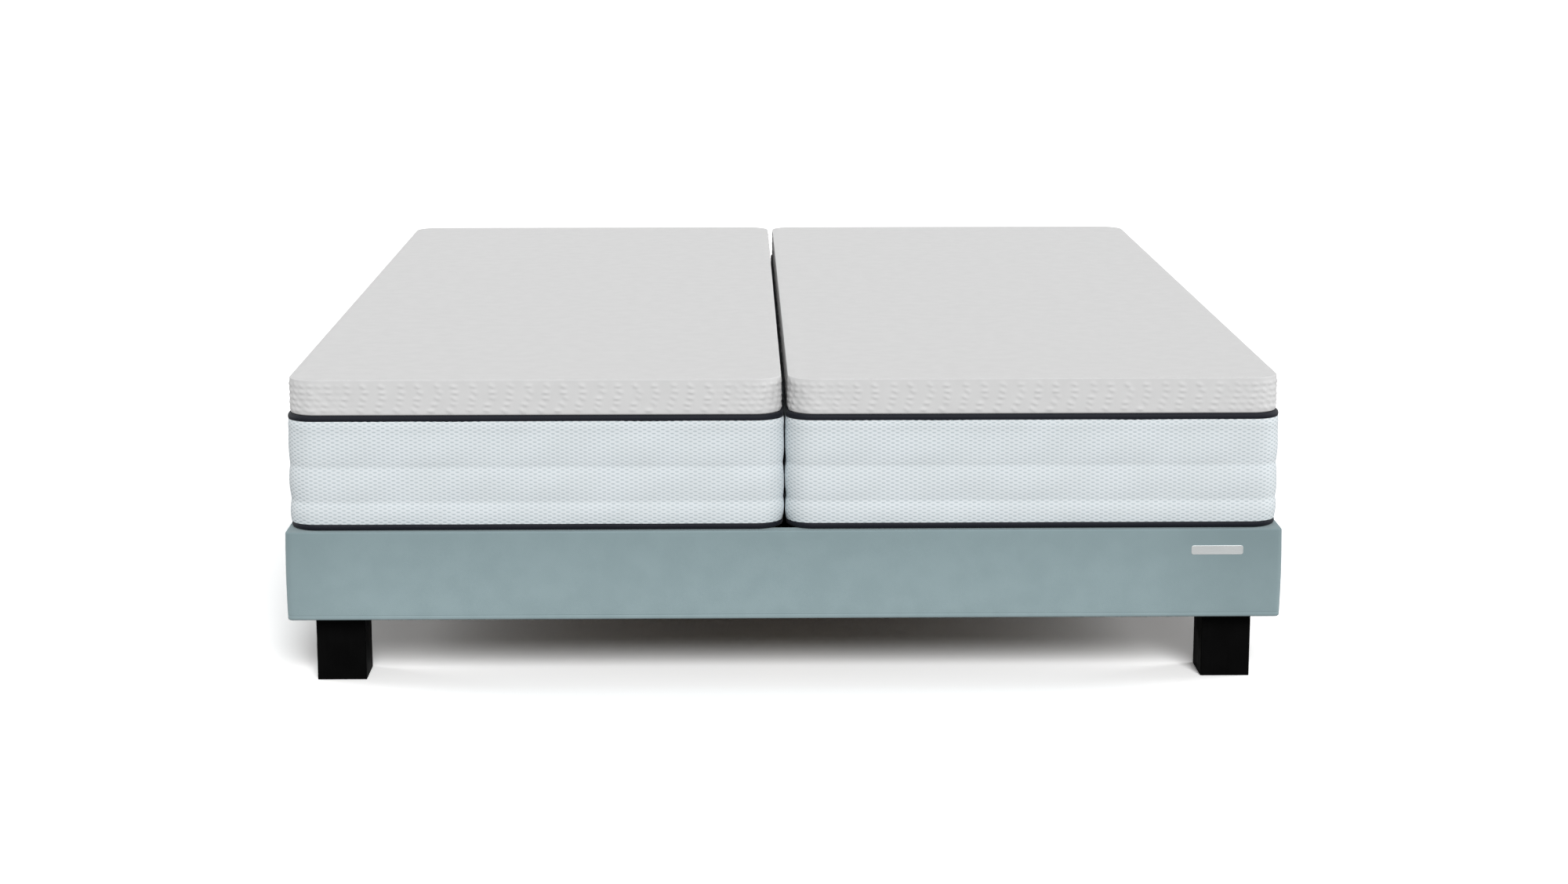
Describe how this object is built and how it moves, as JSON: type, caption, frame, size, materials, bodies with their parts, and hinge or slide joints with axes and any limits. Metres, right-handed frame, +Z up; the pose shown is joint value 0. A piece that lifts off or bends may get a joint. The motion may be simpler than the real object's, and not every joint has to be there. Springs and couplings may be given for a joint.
{
  "type": "adjustable bed base",
  "caption": "Twin adjustable bed base: grey-teal upholstered surround on square black legs, lifting slatted sections inside, and a split pair of mattresses on top.",
  "frame": {"origin": "on the floor under the middle of the bed", "axes": "+Y towards the head end, +X to the right as seen from the foot end, +Z up"},
  "size_m": [1.61, 2.0215, 0.499],
  "materials": {
    "surround_fabric": "light grey-teal woven upholstery, matte",
    "mattress_knit": "light grey knit, embossed on the border",
    "mattress_mesh": "pale blue-white spacer mesh, quilted in channels",
    "mattress_piping": "dark navy woven tape",
    "frame_steel": "satin black powder coat",
    "zinc_steel": "zinc-plated steel",
    "slat_beech": "laminated beech, lacquered",
    "slat_rubber": "matte moulded rubber",
    "board_wood": "raw pine and board",
    "leg_lacquer": "black lacquer",
    "drive_plastic": "textured black moulding",
    "slider_plastic": "grey acetal",
    "plate_silver": "satin silver"
  },
  "bodies": {
    "root": {"surround_cover": "surround_fabric", "foot_board": "board_wood", "head_board": "board_wood", "left_board": "board_wood", "right_board": "board_wood", "foot_left_corner_block": "board_wood", "foot_right_corner_block": "board_wood", "head_left_corner_block": "board_wood", "head_right_corner_block": "board_wood", "foot_left_leg": "leg_lacquer", "foot_right_leg": "leg_lacquer", "head_left_leg": "leg_lacquer", "head_right_leg": "leg_lacquer", "centre_beam": "board_wood", "centre_leg": "leg_lacquer", "left_ledger": "board_wood", "right_ledger": "board_wood", "label_plate": "plate_silver", "left_fixed_frame": "frame_steel", "left_seat_slats": "slat_beech", "left_mattress_seat": "mattress_knit", "left_drive_lower_shell": "drive_plastic", "left_drive_upper_shell": "drive_plastic", "right_fixed_frame": "frame_steel", "right_seat_slats": "slat_beech", "right_mattress_seat": "mattress_knit", "right_drive_lower_shell": "drive_plastic", "right_drive_upper_shell": "drive_plastic"},
    "left_back": {"left_back_frame": "frame_steel", "left_back_slats": "slat_beech", "left_mattress_back": "mattress_knit"},
    "left_thigh": {"left_thigh_frame": "frame_steel", "left_thigh_slats": "slat_beech", "left_mattress_thigh": "mattress_mesh"},
    "left_calf": {"left_calf_frame": "frame_steel", "left_calf_slats": "slat_beech", "left_mattress_calf": "mattress_mesh"},
    "left_back_tube": {"left_back_tube": "zinc_steel"},
    "left_leg_tube": {"left_leg_tube": "zinc_steel"},
    "left_calf_link": {"left_calf_link": "zinc_steel"},
    "left_back_slider": {"left_back_slider": "slider_plastic"},
    "left_leg_slider": {"left_leg_slider": "slider_plastic"},
    "right_back": {"right_back_frame": "frame_steel", "right_back_slats": "slat_beech", "right_mattress_back": "mattress_knit"},
    "right_thigh": {"right_thigh_frame": "frame_steel", "right_thigh_slats": "slat_beech", "right_mattress_thigh": "mattress_mesh"},
    "right_calf": {"right_calf_frame": "frame_steel", "right_calf_slats": "slat_beech", "right_mattress_calf": "mattress_mesh"},
    "right_back_tube": {"right_back_tube": "zinc_steel"},
    "right_leg_tube": {"right_leg_tube": "zinc_steel"},
    "right_calf_link": {"right_calf_link": "zinc_steel"},
    "right_back_slider": {"right_back_slider": "slider_plastic"},
    "right_leg_slider": {"right_leg_slider": "slider_plastic"}
  },
  "joints": [
    {"name": "left_back_lift", "type": "hinge", "parent": "root", "child": "left_back", "pos_m": [-0.3925, 0.26, 0.226], "axis": [1, 0, 0], "range_deg": [0, 60], "deforming": ["left_mattress_seat"]},
    {"name": "left_thigh_lift", "type": "hinge", "parent": "root", "child": "left_thigh", "pos_m": [-0.3925, 0, 0.226], "axis": [-1, 0, 0], "range_deg": [0, 35], "deforming": ["left_mattress_seat"]},
    {"name": "left_calf_hinge", "type": "hinge", "parent": "left_thigh", "child": "left_calf", "pos_m": [-0.3925, -0.33, 0.226], "axis": [-1, 0, 0], "range_deg": [-35, 0]},
    {"name": "left_calf_link_swing", "type": "hinge", "parent": "root", "child": "left_calf_link", "pos_m": [-0.3925, -0.12, 0.185], "axis": [-1, 0, 0], "range_deg": [0, 35]},
    {"name": "left_back_tube_turn", "type": "hinge", "parent": "root", "child": "left_back_tube", "pos_m": [-0.3925, 0.32, 0.186], "axis": [1, 0, 0], "range_deg": [0, 67.2]},
    {"name": "left_leg_tube_turn", "type": "hinge", "parent": "root", "child": "left_leg_tube", "pos_m": [-0.3925, -0.05, 0.186], "axis": [-1, 0, 0], "range_deg": [0, 41.3]},
    {"name": "left_back_slider_push", "type": "slide", "parent": "root", "child": "left_back_slider", "axis": [0, 1, 0], "range_m": [0, 0.0582]},
    {"name": "left_leg_slider_push", "type": "slide", "parent": "root", "child": "left_leg_slider", "axis": [0, -1, 0], "range_m": [0, 0.0372]},
    {"name": "right_back_lift", "type": "hinge", "parent": "root", "child": "right_back", "pos_m": [0.3925, 0.26, 0.226], "axis": [1, 0, 0], "range_deg": [0, 60], "deforming": ["right_mattress_seat"]},
    {"name": "right_thigh_lift", "type": "hinge", "parent": "root", "child": "right_thigh", "pos_m": [0.3925, 0, 0.226], "axis": [-1, 0, 0], "range_deg": [0, 35], "deforming": ["right_mattress_seat"]},
    {"name": "right_calf_hinge", "type": "hinge", "parent": "right_thigh", "child": "right_calf", "pos_m": [0.3925, -0.33, 0.226], "axis": [-1, 0, 0], "range_deg": [-35, 0]},
    {"name": "right_calf_link_swing", "type": "hinge", "parent": "root", "child": "right_calf_link", "pos_m": [0.3925, -0.12, 0.185], "axis": [-1, 0, 0], "range_deg": [0, 35]},
    {"name": "right_back_tube_turn", "type": "hinge", "parent": "root", "child": "right_back_tube", "pos_m": [0.3925, 0.32, 0.186], "axis": [1, 0, 0], "range_deg": [0, 67.2]},
    {"name": "right_leg_tube_turn", "type": "hinge", "parent": "root", "child": "right_leg_tube", "pos_m": [0.3925, -0.05, 0.186], "axis": [-1, 0, 0], "range_deg": [0, 41.3]},
    {"name": "right_back_slider_push", "type": "slide", "parent": "root", "child": "right_back_slider", "axis": [0, 1, 0], "range_m": [0, 0.0582]},
    {"name": "right_leg_slider_push", "type": "slide", "parent": "root", "child": "right_leg_slider", "axis": [0, -1, 0], "range_m": [0, 0.0372]}
  ],
  "couplings": [
    {"joint": "left_calf_hinge", "follows": "left_thigh_lift", "ratio": -1},
    {"joint": "left_calf_link_swing", "follows": "left_thigh_lift", "ratio": 1},
    {"joint": "left_back_tube_turn", "follows": "left_back_lift", "ratio": 1.1183},
    {"joint": "left_leg_tube_turn", "follows": "left_thigh_lift", "ratio": 1.1771},
    {"joint": "left_back_slider_push", "follows": "left_back_lift", "m_per_rad": 0.0554},
    {"joint": "left_leg_slider_push", "follows": "left_thigh_lift", "m_per_rad": 0.0607},
    {"joint": "right_calf_hinge", "follows": "right_thigh_lift", "ratio": -1},
    {"joint": "right_calf_link_swing", "follows": "right_thigh_lift", "ratio": 1},
    {"joint": "right_back_tube_turn", "follows": "right_back_lift", "ratio": 1.1183},
    {"joint": "right_leg_tube_turn", "follows": "right_thigh_lift", "ratio": 1.1771},
    {"joint": "right_back_slider_push", "follows": "right_back_lift", "m_per_rad": 0.0554},
    {"joint": "right_leg_slider_push", "follows": "right_thigh_lift", "m_per_rad": 0.0607}
  ]
}
